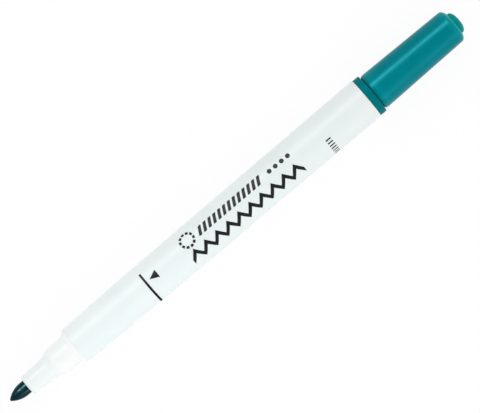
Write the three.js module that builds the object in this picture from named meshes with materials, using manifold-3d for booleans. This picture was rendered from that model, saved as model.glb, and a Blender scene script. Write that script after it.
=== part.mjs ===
// Fabric marker pen with a bullet fibre nib, shown open, with its ventilated cap posted on the rear plug.
// Millimetres, +Z up. The pen lies along X on the plane z = 0, writing point towards -X, cap towards +X.
// Each piece is drawn along its own x axis, from the end nearest the writing point, and then placed.
import * as THREE from "three";
import { mergeVertices, toCreasedNormals } from "three/addons/utils/BufferGeometryUtils.js";
import Module from "manifold-3d";

const wasm = await Module();
wasm.setup();

// Fits between pieces
const PRESS_CLEARANCE = 0.05; // beside a pressed joint, on the radius
const SLIDE_CLEARANCE = 0.08; // beside the cap's grip ribs, on the radius
const SEAM_GAP = 0.1; // between two faces that are pressed home
const CAP_STOP_GAP = 0.2; // between the cap's mouth and the plug's flange
const END_GAP = 0.3; // at each end of the reservoir and behind the nib
const CUT_OVERRUN = 0.5; // how far a cutting shape runs past the face it cuts

// Fibre nib
const NIB_DIAMETER = 3.56;
const NIB_EXPOSED = 5.45;
const NIB_BULLET_LENGTH = 4.3;
const NIB_POINT_RADIUS = 0.4;
const NIB_ENGAGEMENT = 6.4; // how far it enters the reservoir
const NIB_TAIL_LENGTH = 3;
const NIB_TAIL_DIAMETER = 1.8;

// Nib holder: a slim collar round the nib, the seat that the cap grips, a sloping shoulder, a hidden skirt
const COLLAR_LENGTH = 6.95;
const COLLAR_WALL = 0.79; // at its front
const COLLAR_DRAFT = 0.3; // widening towards the rear, on the radius
const SEAT_STEP_LENGTH = 2.8;
const SEAT_LENGTH = 3.9;
const SEAT_DRAFT = 0.17; // widening towards the rear, on the radius
const SHOULDER_LENGTH = 1.4;
const SHOULDER_LAND = 0.25; // the straight rim behind the slope
const SHOULDER_SETBACK = 0.05; // inside the barrel's outline, on the radius
const HOLDER_SKIRT_LENGTH = 11;
const HOLDER_WALL = 0.95;
const CHAMBER_CONE_LENGTH = 1.6; // where the nib's bore widens into the chamber behind it
const HOLDER_FIN_COUNT = 4;
const HOLDER_FIN_LENGTH = 9;
const HOLDER_FIN_THICKNESS = 0.7;
const AIR_GROOVE_COUNT = 3;
const AIR_GROOVE_WIDTH = 0.6;
const AIR_GROOVE_DEPTH = 0.3;

// Barrel: a tube that swells from its front into a long straight taper, with ribs inside that hold the
// reservoir off the wall
const BARREL_LENGTH = 91.4;
const BARREL_FRONT_DIAMETER = 9.76;
const BARREL_SWELL_LENGTH = 34;
const BARREL_SWELL_DIAMETER = 10.56; // where the swell ends and the straight taper begins
const BARREL_REAR_DIAMETER = 10.94;
const BARREL_WALL = 1.05; // at both ends
const BARREL_EDGE_RADIUS = 0.25;
const BARREL_RIB_COUNT = 6;
const BARREL_RIB_THICKNESS = 0.6;
const BARREL_RIB_HEIGHT = 0.25; // where the bore is narrowest
const BARREL_RIB_SETBACK = 2; // from the ends of the two skirts

// Ink reservoir
const WRAP_THICKNESS = 0.2;
const WRAP_SETBACK = 0.6; // bare fibre beyond each end of the film

// Rear plug: a skirt pressed into the barrel, a flange, and a spigot for posting the cap
const FLANGE_THICKNESS = 1.85;
const FLANGE_OVERHANG = 0.05; // beyond the barrel's outline, on the radius
const FLANGE_EDGE_RADIUS = 0.2;
const PLUG_SKIRT_LENGTH = 8;
const PLUG_WALL = 0.95;
const PLUG_WEB_COUNT = 4;
const PLUG_WEB_THICKNESS = 0.8;
const PLUG_WEB_LENGTH = 3;
const SPIGOT_LENGTH = 7.5;
const SPIGOT_EDGE_RADIUS = 0.6;

// Beads round the two pressed skirts
const BEAD_COUNT = 2;
const BEAD_HEIGHT = 0.1;
const BEAD_LENGTH = 1.2;

// Cap: an outer shell, and an inner seal whose stem shows through the shell's end
const CAP_MOUTH_DIAMETER = 9.8;
const CAP_MOUTH_WALL = 0.8;
const CAP_LIP_LENGTH = 1.1; // how far the eased edge of the mouth reaches along the cap
const CAP_LIP_DROP = 0.35; // and how far it draws in, on the radius
const CAP_END_WALL = 0.8;
const CAP_END_THICKNESS = 1.2; // at the hole for the stem
const CAP_DOME_HEIGHT = 1.75; // of the whole oval dome, whose top the hole for the stem takes away
const GRIP_RIB_COUNT = 8;
const GRIP_RIB_THICKNESS = 0.5;
const GRIP_RIB_HEIGHT = 0.1;
const GRIP_RIB_START = 1.2;
const GRIP_RIB_LENGTH = 7;
const CAP_VENT_COUNT = 4;
const CAP_VENT_WIDTH = 1.2;
const CAP_VENT_REACH = 0.55; // how far each vent reaches out from the hole round the stem
const CAP_VENT_DEPTH = 0.6; // into the inner face of the closed end
const STEM_PROUD = 1.4;
const STEM_DOME_HEIGHT = 1.2;
const STEM_FLAT_DIAMETER = 1.2; // in the middle of the stem's dome
const STEM_HOLE_CLEARANCE = 0.15; // the gap that lets the air out
const SEAL_OVERLAP = 1.7; // along the collar, when the cap is on the writing end
const SEAL_GRIP = 0.08; // how much the lip stretches over the collar, on the radius
const SEAL_LIP_HEIGHT = 0.1;
const SEAL_LIP_LENGTH = 1;
const SEAL_WALL = 0.55;
const SEAL_SIDE_GAP = 0.42; // between the seal and the shell's bore at its closed end
const SEAL_SHOULDER = 0.38; // from the seal's side down to its stem
const SEAL_FLOOR_THICKNESS = 2.15;
const NIB_TIP_ROOM = 2.55; // between the nib and the seal's floor, when the cap is on the writing end
const SEAL_FIN_COUNT = 4;
const SEAL_FIN_THICKNESS = 0.7;
const SEAL_FIN_START = 4; // behind the seal's mouth

// Facets
const AROUND = 48; // round the mouldings
const AROUND_FIBRE = 36; // round the nib and the reservoir
const ARC_STEPS = 3;
const CURVE_STEPS = 8;

const lerp = THREE.MathUtils.lerp;
const halfTurn = Math.PI;

// Radii of the nib and the collar, and of the cap's mouth with the seat and the spigot that it slides on
const nibRadius = NIB_DIAMETER / 2;
const nibBore = nibRadius + PRESS_CLEARANCE;
const collarRadiusAt = (x) => nibBore + COLLAR_WALL + (COLLAR_DRAFT * x) / COLLAR_LENGTH;
const capMouthRadius = CAP_MOUTH_DIAMETER / 2;
const capMouthBore = capMouthRadius - CAP_MOUTH_WALL;
const capMouthLead = (CAP_MOUTH_WALL - CAP_LIP_DROP) / 2;
const gripDepth = GRIP_RIB_HEIGHT + SLIDE_CLEARANCE; // from the cap's bore down to what it grips
const seatRearRadius = capMouthBore - gripDepth;
const seatFrontRadius = seatRearRadius - SEAT_DRAFT;

// Radii of the barrel and of what is pressed into it
const barrelFront = BARREL_FRONT_DIAMETER / 2;
const barrelSwell = BARREL_SWELL_DIAMETER / 2;
const barrelRear = BARREL_REAR_DIAMETER / 2;
const straightAt = (x) =>
  lerp(barrelSwell, barrelRear, (x - BARREL_SWELL_LENGTH) / (BARREL_LENGTH - BARREL_SWELL_LENGTH));
const swellDrop = straightAt(0) - barrelFront; // from the straight taper, carried on, to the front
const barrelBoreAt = (x) => lerp(barrelFront, barrelRear, x / BARREL_LENGTH) - BARREL_WALL;
const narrowestBore = (from, to) => Math.min(barrelBoreAt(from), barrelBoreAt(to));
const skirtFit = PRESS_CLEARANCE + BEAD_HEIGHT; // from the barrel's bore down to a skirt
const holderSkirtRadius = narrowestBore(0, HOLDER_SKIRT_LENGTH) - skirtFit;
const plugSkirtRadius = narrowestBore(BARREL_LENGTH - PLUG_SKIRT_LENGTH, BARREL_LENGTH) - skirtFit;
const chamberRadius = Math.min(seatFrontRadius, holderSkirtRadius) - HOLDER_WALL;
const shoulderRadius = barrelFront - SHOULDER_SETBACK;
const flangeRadius = barrelRear + FLANGE_OVERHANG;
const ribInnerRadius = narrowestBore(0, BARREL_LENGTH) - BARREL_RIB_HEIGHT;
const wrapRadius = ribInnerRadius - PRESS_CLEARANCE;
const coreRadius = wrapRadius - WRAP_THICKNESS - PRESS_CLEARANCE;
const widestRadius = Math.max(barrelFront, barrelSwell, barrelRear, flangeRadius, capMouthRadius);

// Lengths along the nib holder, from the collar's front
const seatFront = COLLAR_LENGTH + SEAT_STEP_LENGTH;
const seatRear = seatFront + SEAT_LENGTH;
const shoulderRear = seatRear + SHOULDER_LENGTH;
const slopeLength = SHOULDER_LENGTH - SHOULDER_LAND;
const holderLength = shoulderRear + HOLDER_SKIRT_LENGTH;

// The cap closes where its mouth meets the shoulder's slope, and its depths follow from there.
const mouthOnSlope = (capMouthBore + capMouthLead - seatRearRadius) / (shoulderRadius - seatRearRadius);
const closedMouthAt = seatRear + slopeLength * mouthOnSlope;
const sealDepth = closedMouthAt - SEAL_OVERLAP;
const sealFloorDepth = closedMouthAt + NIB_EXPOSED + NIB_TIP_ROOM;
const capBoreDepth = sealFloorDepth + SEAL_FLOOR_THICKNESS + SEAM_GAP;
const capLength = capBoreDepth + CAP_END_THICKNESS;

// The seal fits the collar, and the closed end of the cap fits the seal.
const sealLipRadius = collarRadiusAt(SEAL_OVERLAP) - SEAL_GRIP;
const sealBore = sealLipRadius + SEAL_LIP_HEIGHT;
const sealRadius = sealBore + SEAL_WALL;
const stemRadius = sealRadius - SEAL_SHOULDER;
const stemHoleRadius = stemRadius + STEM_HOLE_CLEARANCE;
const capEndBore = sealRadius + SEAL_SIDE_GAP;
const capBoreAt = (x) => lerp(capMouthBore, capEndBore, x / capBoreDepth);

// Places along the pen, from the writing point
const barrelAt = NIB_EXPOSED + shoulderRear + SEAM_GAP;
const reservoirAt = NIB_EXPOSED + holderLength + END_GAP;
const nibLength = reservoirAt + NIB_ENGAGEMENT;
const plugAt = barrelAt + BARREL_LENGTH + SEAM_GAP;
const reservoirLength = plugAt - PLUG_SKIRT_LENGTH - END_GAP - reservoirAt;
const capAt = plugAt + FLANGE_THICKNESS + CAP_STOP_GAP;
const penLength = capAt + capLength + STEM_PROUD;

// Points [x, r] of a part of an oval round (x, r), between two angles in degrees from +x towards +r.
function oval(x, r, [length, height], from, to, steps = 2 * ARC_STEPS) {
  return Array.from({ length: steps + 1 }, (_, i) => {
    const angle = THREE.MathUtils.degToRad(lerp(from, to, i / steps));
    return [x + length * Math.cos(angle), r + height * Math.sin(angle)];
  });
}

function arc(x, r, radius, from, to, steps = ARC_STEPS) {
  return oval(x, r, [radius, radius], from, to, steps);
}

// Points [x, r] of a curve from one x to another, where radiusAt gives r for a share 0 to 1 of the way.
function curve(fromX, toX, radiusAt, steps = CURVE_STEPS) {
  return Array.from({ length: steps + 1 }, (_, i) => [lerp(fromX, toX, i / steps), radiusAt(i / steps)]);
}

// A body turned round the x axis from an outline of points [x, r].
function turned(outline, around = AROUND) {
  const points = outline.map(([x, r]) => new THREE.Vector2(Math.max(r, 0), x));
  const lathe = new THREE.LatheGeometry(points, around, halfTurn / around);
  return lathe.rotateZ(-halfTurn / 2);
}

// A closed geometry as a solid that can be joined and cut, and the geometry of such a solid.
function solidOf(geometry) {
  const bare = geometry.clone();
  bare.deleteAttribute("normal");
  bare.deleteAttribute("uv");
  const merged = mergeVertices(bare, 1e-4);
  return new wasm.Manifold(
    new wasm.Mesh({
      numProp: 3,
      vertProperties: merged.attributes.position.array,
      triVerts: new Uint32Array(merged.index.array),
    }),
  );
}

function geometryOf(solid) {
  const mesh = solid.getMesh();
  const geometry = new THREE.BufferGeometry();
  geometry.setAttribute("position", new THREE.BufferAttribute(mesh.vertProperties, mesh.numProp));
  geometry.setIndex(new THREE.BufferAttribute(mesh.triVerts, 1));
  return geometry;
}

// Flat fins round the x axis, each from one x to another and from one radius to another, as one solid.
function fins(count, thickness, [fromX, toX], [fromR, toR], turn = 0) {
  const each = Array.from({ length: count }, (_, i) => {
    const box = new THREE.BoxGeometry(toX - fromX, thickness, toR - fromR);
    box.translate((fromX + toX) / 2, 0, (fromR + toR) / 2);
    return solidOf(box.rotateX(turn + (i * 2 * halfTurn) / count));
  });
  return each.reduce((all, fin) => all.add(fin));
}

// A solid cone between two radii, for trimming fins to a taper.
function cone([fromX, toX], [fromR, toR]) {
  return solidOf(
    turned([
      [fromX, 0],
      [fromX, fromR],
      [toX, toR],
      [toX, 0],
    ]),
  );
}

// The outline of the beads on a skirt that runs from one x to the other.
function beads(fromX, toX, radius) {
  const pitch = (toX - fromX) / (BEAD_COUNT + 1);
  return Array.from({ length: BEAD_COUNT }, (_, i) => {
    const middle = fromX + (i + 1) * pitch;
    return [
      [middle - BEAD_LENGTH / 2, radius],
      [middle - BEAD_LENGTH / 6, radius + BEAD_HEIGHT],
      [middle + BEAD_LENGTH / 6, radius + BEAD_HEIGHT],
      [middle + BEAD_LENGTH / 2, radius],
    ];
  }).flat();
}

function finish(name, color, roughness) {
  return new THREE.MeshStandardMaterial({ name, color, roughness, metalness: 0 });
}

const whiteMoulding = finish("white_moulding", 0xf4f9f8, 0.35);
const milkyMoulding = finish("milky_moulding", 0xe6efed, 0.4);
const tealMoulding = finish("teal_moulding", 0x00838d, 0.35);
const wetFibre = finish("wet_fibre", 0x0a3038, 0.8);
const inkedFibre = finish("inked_fibre", 0x0b6f78, 0.95);
const clearFilm = finish("clear_film", 0xdfeef0, 0.2);

// A named piece, placed with its own x = 0 at a distance from the writing point.
function piece(name, geometry, material, at) {
  const mesh = new THREE.Mesh(toCreasedNormals(geometry, halfTurn / 6), material);
  mesh.name = name;
  mesh.position.x = at;
  return mesh;
}

// The nib is a rod with a blunted ogive at the writing end and a short cone at the tail.
function fibreNib() {
  const tip = NIB_POINT_RADIUS;
  const reach = NIB_BULLET_LENGTH - tip;
  const ogive = (reach ** 2 + nibRadius ** 2 - tip ** 2) / (2 * (nibRadius - tip));
  const centre = nibRadius - ogive;
  const meet = THREE.MathUtils.radToDeg(Math.atan2(-centre, -reach));
  const outline = [
    ...arc(tip, 0, tip, 180, meet),
    ...arc(NIB_BULLET_LENGTH, centre, ogive, meet, 90, CURVE_STEPS).slice(1),
    [nibLength - NIB_TAIL_LENGTH, nibRadius],
    [nibLength, NIB_TAIL_DIAMETER / 2],
    [nibLength, 0],
  ];
  return piece("fibre_nib", turned(outline, AROUND_FIBRE), wetFibre, 0);
}

// The holder grips the nib in its bore and between four fins, and lets air past it in three grooves.
function nibHolder() {
  const mouthRound = COLLAR_WALL / 2;
  const collarRear = collarRadiusAt(COLLAR_LENGTH);
  const step = (share) => lerp(collarRear, seatFrontRadius, Math.sin((share * halfTurn) / 2));
  const skirtLead = (holderSkirtRadius - chamberRadius) / 3;
  const chamberStart = seatFront + CHAMBER_CONE_LENGTH;
  const outside = [
    ...arc(mouthRound, collarRadiusAt(0) - mouthRound, mouthRound, 180, 90),
    ...curve(COLLAR_LENGTH, seatFront, step, CURVE_STEPS / 2),
    [seatRear, seatRearRadius],
    [shoulderRear - SHOULDER_LAND, shoulderRadius],
    [shoulderRear, shoulderRadius],
    [shoulderRear, holderSkirtRadius],
    ...beads(shoulderRear, holderLength, holderSkirtRadius),
    [holderLength - skirtLead, holderSkirtRadius],
    [holderLength, holderSkirtRadius - skirtLead],
  ];
  const inside = [
    [holderLength, chamberRadius],
    [chamberStart, chamberRadius],
    [seatFront, nibBore],
    [0, nibBore],
  ];
  const nibFins = fins(
    HOLDER_FIN_COUNT,
    HOLDER_FIN_THICKNESS,
    [seatFront - CUT_OVERRUN, seatFront + HOLDER_FIN_LENGTH],
    [nibBore, chamberRadius + HOLDER_WALL / 3],
    halfTurn / HOLDER_FIN_COUNT,
  );
  const airGrooves = fins(
    AIR_GROOVE_COUNT,
    AIR_GROOVE_WIDTH,
    [-CUT_OVERRUN, chamberStart],
    [nibBore / 2, nibBore + AIR_GROOVE_DEPTH],
  );
  const shell = solidOf(turned([...outside, ...inside, outside[0]]));
  const body = shell.add(nibFins).subtract(airGrooves);
  return piece("nib_holder", geometryOf(body), whiteMoulding, NIB_EXPOSED);
}

function barrel() {
  const edge = BARREL_EDGE_RADIUS;
  const swell = (share) => straightAt(share * BARREL_SWELL_LENGTH) - swellDrop * (1 - share) ** 2;
  const outline = [
    ...arc(edge, barrelFront - edge, edge, 180, 90),
    ...curve(0, BARREL_SWELL_LENGTH, swell).slice(1),
    ...arc(BARREL_LENGTH - edge, barrelRear - edge, edge, 90, 0),
    [BARREL_LENGTH, barrelBoreAt(BARREL_LENGTH)],
    [0, barrelBoreAt(0)],
    [0, barrelFront - edge],
  ];
  // The ribs are trimmed half way into the wall, so that they root in it all along the taper.
  const root = BARREL_WALL / 2;
  const ribs = fins(
    BARREL_RIB_COUNT,
    BARREL_RIB_THICKNESS,
    [HOLDER_SKIRT_LENGTH + BARREL_RIB_SETBACK, BARREL_LENGTH - PLUG_SKIRT_LENGTH - BARREL_RIB_SETBACK],
    [ribInnerRadius, widestRadius],
  ).intersect(cone([0, BARREL_LENGTH], [barrelBoreAt(0) + root, barrelBoreAt(BARREL_LENGTH) + root]));
  return piece("barrel", geometryOf(solidOf(turned(outline)).add(ribs)), milkyMoulding, barrelAt);
}

// The fibre core has a pocket in its front end, where the nib's tail is pushed in.
function reservoirCore() {
  const pocketEnd = NIB_ENGAGEMENT + END_GAP;
  const outline = [
    [0, nibBore],
    [0, coreRadius],
    [reservoirLength, coreRadius],
    [reservoirLength, 0],
    [pocketEnd, 0],
    [pocketEnd, NIB_TAIL_DIAMETER / 2 + PRESS_CLEARANCE],
    [pocketEnd - NIB_TAIL_LENGTH, nibBore],
    [0, nibBore],
  ];
  return piece("ink_reservoir_core", turned(outline, AROUND_FIBRE), inkedFibre, reservoirAt);
}

function reservoirWrap() {
  const wrapEnd = reservoirLength - WRAP_SETBACK;
  const wrapBore = wrapRadius - WRAP_THICKNESS;
  const outline = [
    [WRAP_SETBACK, wrapBore],
    [WRAP_SETBACK, wrapRadius],
    [wrapEnd, wrapRadius],
    [wrapEnd, wrapBore],
    [WRAP_SETBACK, wrapBore],
  ];
  return piece("ink_reservoir_wrap", turned(outline, AROUND_FIBRE), clearFilm, reservoirAt);
}

// The plug's own x axis starts at the front face of its flange, so its skirt lies at negative x.
function endPlug() {
  const skirtFront = -PLUG_SKIRT_LENGTH;
  const skirtBore = plugSkirtRadius - PLUG_WALL;
  const skirtLead = PLUG_WALL / 3;
  const spigotFront = capMouthBore - gripDepth;
  const spigotRear = capBoreAt(SPIGOT_LENGTH) - gripDepth;
  const spigotBore = Math.min(spigotFront, spigotRear) - PLUG_WALL;
  const spigotEnd = FLANGE_THICKNESS + SPIGOT_LENGTH;
  const hollowEnd = spigotEnd - PLUG_WALL;
  const edge = FLANGE_EDGE_RADIUS;
  const round = SPIGOT_EDGE_RADIUS;
  const outline = [
    [skirtFront, skirtBore],
    [skirtFront, plugSkirtRadius - skirtLead],
    [skirtFront + skirtLead, plugSkirtRadius],
    ...beads(skirtFront, 0, plugSkirtRadius),
    [0, plugSkirtRadius],
    ...arc(edge, flangeRadius - edge, edge, 180, 90),
    ...arc(FLANGE_THICKNESS - edge, flangeRadius - edge, edge, 90, 0),
    [FLANGE_THICKNESS, spigotFront],
    ...arc(spigotEnd - round, spigotRear - round, round, 90, 0),
    [spigotEnd, 0],
    [hollowEnd, 0],
    [hollowEnd, spigotBore],
    [0, spigotBore],
    [-PLUG_WALL / 2, skirtBore],
    [skirtFront, skirtBore],
  ];
  const crossWeb = fins(
    PLUG_WEB_COUNT,
    PLUG_WEB_THICKNESS,
    [skirtFront, skirtFront + PLUG_WEB_LENGTH],
    [0, skirtBore + PLUG_WALL / 3],
  );
  const body = solidOf(turned(outline)).add(crossWeb);
  return piece("end_plug", geometryOf(body), tealMoulding, plugAt);
}

// The grip ribs follow the taper of the bore. The vents are grooves inside the closed end, and lead the
// air past the seal to the gap round the stem.
function capShell() {
  const endRadius = capEndBore + CAP_END_WALL;
  const holeAngle = Math.asin(stemHoleRadius / endRadius);
  const domeStart = capLength - CAP_DOME_HEIGHT * Math.cos(holeAngle);
  const outside = [
    ...oval(CAP_LIP_LENGTH, capMouthRadius - CAP_LIP_DROP, [CAP_LIP_LENGTH, CAP_LIP_DROP], 180, 90),
    ...oval(domeStart, 0, [CAP_DOME_HEIGHT, endRadius], 90, THREE.MathUtils.radToDeg(holeAngle)),
  ];
  const inside = [
    [capBoreDepth, stemHoleRadius],
    [capBoreDepth, capEndBore],
    [capMouthLead, capBoreAt(capMouthLead)],
    [0, capMouthBore + capMouthLead],
  ];
  const ribs = fins(
    GRIP_RIB_COUNT,
    GRIP_RIB_THICKNESS,
    [GRIP_RIB_START, GRIP_RIB_START + GRIP_RIB_LENGTH],
    [sealBore, capMouthBore + CAP_MOUTH_WALL / 3],
    halfTurn / GRIP_RIB_COUNT,
  ).subtract(cone([0, capBoreDepth], [capMouthBore - GRIP_RIB_HEIGHT, capEndBore - GRIP_RIB_HEIGHT]));
  const vents = fins(
    CAP_VENT_COUNT,
    CAP_VENT_WIDTH,
    [capBoreDepth - CUT_OVERRUN, capBoreDepth + CAP_VENT_DEPTH],
    [stemRadius / 2, stemHoleRadius + CAP_VENT_REACH],
    halfTurn / CAP_VENT_COUNT,
  );
  const shell = solidOf(turned([...outside, ...inside, outside[0]]));
  return piece("cap_shell", geometryOf(shell.add(ribs).subtract(vents)), tealMoulding, capAt);
}

// The inner seal is a thimble that closes round the nib holder's collar when the cap is on the writing end.
function capInnerSeal() {
  const seat = capBoreDepth - SEAM_GAP - sealDepth; // its back face, against the shell's end
  const floor = sealFloorDepth - sealDepth;
  const stemEnd = capLength + STEM_PROUD - sealDepth;
  const lipRound = (sealRadius - sealLipRadius) / 3;
  const flatRadius = STEM_FLAT_DIAMETER / 2;
  const dome = [STEM_DOME_HEIGHT, stemRadius - flatRadius];
  const outline = [
    [lipRound, sealLipRadius],
    [0, sealLipRadius + lipRound],
    [0, sealRadius - lipRound],
    [lipRound, sealRadius],
    [seat, sealRadius],
    [seat, stemRadius],
    ...oval(stemEnd - STEM_DOME_HEIGHT, flatRadius, dome, 90, 0),
    [stemEnd, 0],
    [floor, 0],
    [floor, sealBore - lipRound],
    [floor - lipRound, sealBore],
    [SEAL_LIP_LENGTH, sealBore],
    [SEAL_LIP_LENGTH - lipRound, sealLipRadius],
    [lipRound, sealLipRadius],
  ];
  const centringFins = fins(
    SEAL_FIN_COUNT,
    SEAL_FIN_THICKNESS,
    [SEAL_FIN_START, seat],
    [sealBore + SEAL_WALL / 3, Math.min(capBoreAt(sealDepth), capEndBore) - PRESS_CLEARANCE],
  );
  const body = solidOf(turned(outline)).add(centringFins);
  return piece("cap_inner_seal", geometryOf(body), tealMoulding, capAt + sealDepth);
}

const cap = new THREE.Group();
cap.add(capShell(), capInnerSeal());

const pen = new THREE.Group();
pen.add(fibreNib(), nibHolder(), barrel(), reservoirCore(), reservoirWrap(), endPlug(), cap);
pen.position.set(-penLength / 2, 0, widestRadius * Math.cos(halfTurn / AROUND));

export default pen;
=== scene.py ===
import math

import bpy
from mathutils import Matrix, Vector


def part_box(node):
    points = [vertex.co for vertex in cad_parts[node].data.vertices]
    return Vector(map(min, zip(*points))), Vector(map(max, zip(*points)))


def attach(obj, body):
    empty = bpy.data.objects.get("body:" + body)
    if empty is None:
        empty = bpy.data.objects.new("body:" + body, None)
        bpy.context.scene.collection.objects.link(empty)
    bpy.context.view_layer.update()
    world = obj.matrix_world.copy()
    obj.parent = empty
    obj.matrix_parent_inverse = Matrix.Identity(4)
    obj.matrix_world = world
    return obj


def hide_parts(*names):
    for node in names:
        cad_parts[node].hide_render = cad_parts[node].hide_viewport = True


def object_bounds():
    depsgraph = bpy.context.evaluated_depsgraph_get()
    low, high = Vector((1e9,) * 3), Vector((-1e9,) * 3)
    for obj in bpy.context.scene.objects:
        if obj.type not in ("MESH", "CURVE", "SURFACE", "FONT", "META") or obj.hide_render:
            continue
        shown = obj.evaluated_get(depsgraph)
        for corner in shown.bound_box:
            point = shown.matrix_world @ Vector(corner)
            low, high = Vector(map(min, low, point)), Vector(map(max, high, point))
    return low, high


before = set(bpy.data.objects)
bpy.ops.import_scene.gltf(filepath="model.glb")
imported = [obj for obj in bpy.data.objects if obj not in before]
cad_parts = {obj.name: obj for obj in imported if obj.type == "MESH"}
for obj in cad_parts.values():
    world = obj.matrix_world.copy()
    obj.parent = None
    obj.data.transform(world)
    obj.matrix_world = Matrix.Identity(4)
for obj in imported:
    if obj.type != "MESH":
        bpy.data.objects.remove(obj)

# Looks of an uncapped fabric marker pen with its cap posted on the rear plug.
# The pen's sizes are in millimetres. In an outline of (x, radius), x = 0 is the front face of the CAD node
# that the piece stands for, and on the rear plug it is the front face of the flange. AROUND is the number
# of faces round a turned piece.
MM = 0.001
AROUND = 96
AROUND_NIB = 64
CAD_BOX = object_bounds()
AXIS_Z = (CAD_BOX[0].z + CAD_BOX[1].z) / 2

# How far a cutting bar runs past the face that it cuts, and how long the sloped edge of a pressed skirt is
CUT_OVERRUN = 0.5
SKIRT_CHAMFER = 0.317

# Nib and nib holder
NIB_RADIUS = 1.78
NIB_POINT_RADIUS = 0.4
NIB_BULLET_LENGTH = 4.3
NIB_ROD_END = 35.2
NIB_END = 38.2
NIB_END_RADIUS = 0.9
NIB_BORE = 1.83
COLLAR_FRONT = 2.62
COLLAR_REAR = 2.92
COLLAR_LENGTH = 6.95
SEAT_FRONT = 9.75
SEAT_REAR = 13.65
SEAT_FRONT_RADIUS = 3.75
SEAT_REAR_RADIUS = 3.92
SHOULDER = 4.83
SHOULDER_RIM = 14.8
SHOULDER_REAR = 15.05
HOLDER_SKIRT = 3.68
HOLDER_BEADS = (18.717, 22.383)
HOLDER_END = 26.05
HOLDER_END_RADIUS = 3.363
CHAMBER = 2.73
CHAMBER_FRONT = 11.35

# Barrel: the place of its front end, its sizes, and how far it is drawn longer at each end, so that no more
# than a hair's breadth is left of the seams where the holder and the plug are pressed home
BARREL_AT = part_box("barrel")[0].x / MM
BARREL_LENGTH = 91.4
BARREL_FRONT = 4.88
BARREL_FRONT_BORE = 3.83
BARREL_SWELL = 5.28
BARREL_SWELL_LENGTH = 34
BARREL_REAR = 5.458
BARREL_REAR_BORE = 4.42
FRONT_SEAM_FILL = 0.095
REAR_SEAM_FILL = 0.08

# Rear plug. Its flange is drawn as the photograph shows it, a little inside the barrel's outline.
PLUG_FRONT = -8
PLUG_FRONT_RADIUS = 3.902
PLUG_BEADS = (-5.333, -2.667)
PLUG_SKIRT = 4.218
PLUG_SKIRT_BORE = 3.268
FLANGE_RADIUS = 5.34
FLANGE_THICKNESS = 1.85
SPIGOT_FRONT = 3.92
SPIGOT_REAR = 3.792
SPIGOT_BORE = 2.842
SPIGOT_BORE_END = 8.4
SPIGOT_END = 9.35
SPIGOT_DENT = 0.12

# Cap: its shell, the hole in its domed end, and its inner seal with the stem
CAP_LENGTH = 25.612
CAP_BORE_DEPTH = 24.412
CAP_MOUTH = 4.9
CAP_MOUTH_BORE = 4.1
CAP_MOUTH_CHAMFER = 0.225
CAP_LIP_LENGTH = 1.1
CAP_LIP_DROP = 0.35
CAP_END = 4.483
CAP_END_BORE = 3.683
CAP_DOME_HEIGHT = 1.75
STEM_HOLE = 3.033
STEM = 2.883
STEM_END = 14.55
STEM_DOME_HEIGHT = 1.2
STEM_FLAT = 0.6
STEM_DENT = 0.08
SEAL_BORE_END = 9.7
SEAL_BACK = 11.85

# Print: the ink's thickness, the width of the slices that let a mark bend, and the places of its two rows,
# which are counted round the barrel from the line along its top
INK_THICKNESS = 0.015
SLICE = 0.3
UPPER_ROW = 1.8
LOWER_ROW = -2.45

# An edge counts as rounded from the first of these angles between its faces on, and in full from the second
RIM_START = 12
RIM_FULL = 15


# Modelling by hand


def start_clean():
    """Object mode with nothing selected."""
    if bpy.context.mode != "OBJECT":
        bpy.ops.object.mode_set(mode="OBJECT")
    bpy.ops.object.select_all(action="DESELECT")


def take(*objects):
    """Selects only these objects and makes the first one active."""
    start_clean()
    for each in objects:
        each.select_set(True)
    bpy.context.view_layer.objects.active = objects[0]


def settle(name, size=(1, 1, 1)):
    """Names the primitive just added, gives it its size in metres and puts its place into its mesh."""
    piece = bpy.context.object
    piece.name = piece.data.name = name
    piece.scale = size
    bpy.ops.object.transform_apply(location=True, rotation=True, scale=True)
    return piece


def finish_with(piece, kind, **settings):
    """Adds a modifier and applies it."""
    take(piece)
    modifier = piece.modifiers.new(kind.lower(), kind)
    for key, value in settings.items():
        setattr(modifier, key, value)
    bpy.ops.object.modifier_apply(modifier=modifier.name)


def choose(piece, kind, wanted):
    """Opens a piece in edit mode with only those edges or faces chosen whose corners are all wanted."""
    take(piece)
    mesh = piece.data
    good = [wanted(vertex.co) for vertex in mesh.vertices]
    for group in (mesh.vertices, mesh.edges, mesh.polygons):
        group.foreach_set("select", [False] * len(group))
    for each in mesh.edges if kind == "EDGE" else mesh.polygons:
        if all(good[i] for i in each.vertices):
            each.select = True
            for i in each.vertices:
                mesh.vertices[i].select = True
    bpy.ops.object.mode_set(mode="EDIT")
    bpy.ops.mesh.select_mode(type=kind)


def choose_ring(piece, at, radius):
    """Chooses a whole ring of edges by its place along the pen and its radius."""
    near = 0.004

    def on_the_ring(co):
        out = math.hypot(co.y, co.z - AXIS_Z) / MM
        return abs(co.x / MM - at) < near and abs(out - radius) < near

    choose(piece, "EDGE", on_the_ring)


def draw_on(from_ring, to_ring):
    """Extrudes the chosen ring to the next one, or into a pole where that one has no radius."""
    (x0, r0), (x1, r1) = from_ring, to_ring
    bpy.ops.mesh.extrude_region_move(TRANSFORM_OT_translate={"value": ((x1 - x0) * MM, 0, 0)})
    if r1 == 0:
        bpy.ops.mesh.merge(type="CENTER")
    elif r1 != r0:
        share = r1 / r0
        bpy.ops.transform.resize(value=(1, share, share), center_override=(x1 * MM, 0, AXIS_Z))


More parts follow.
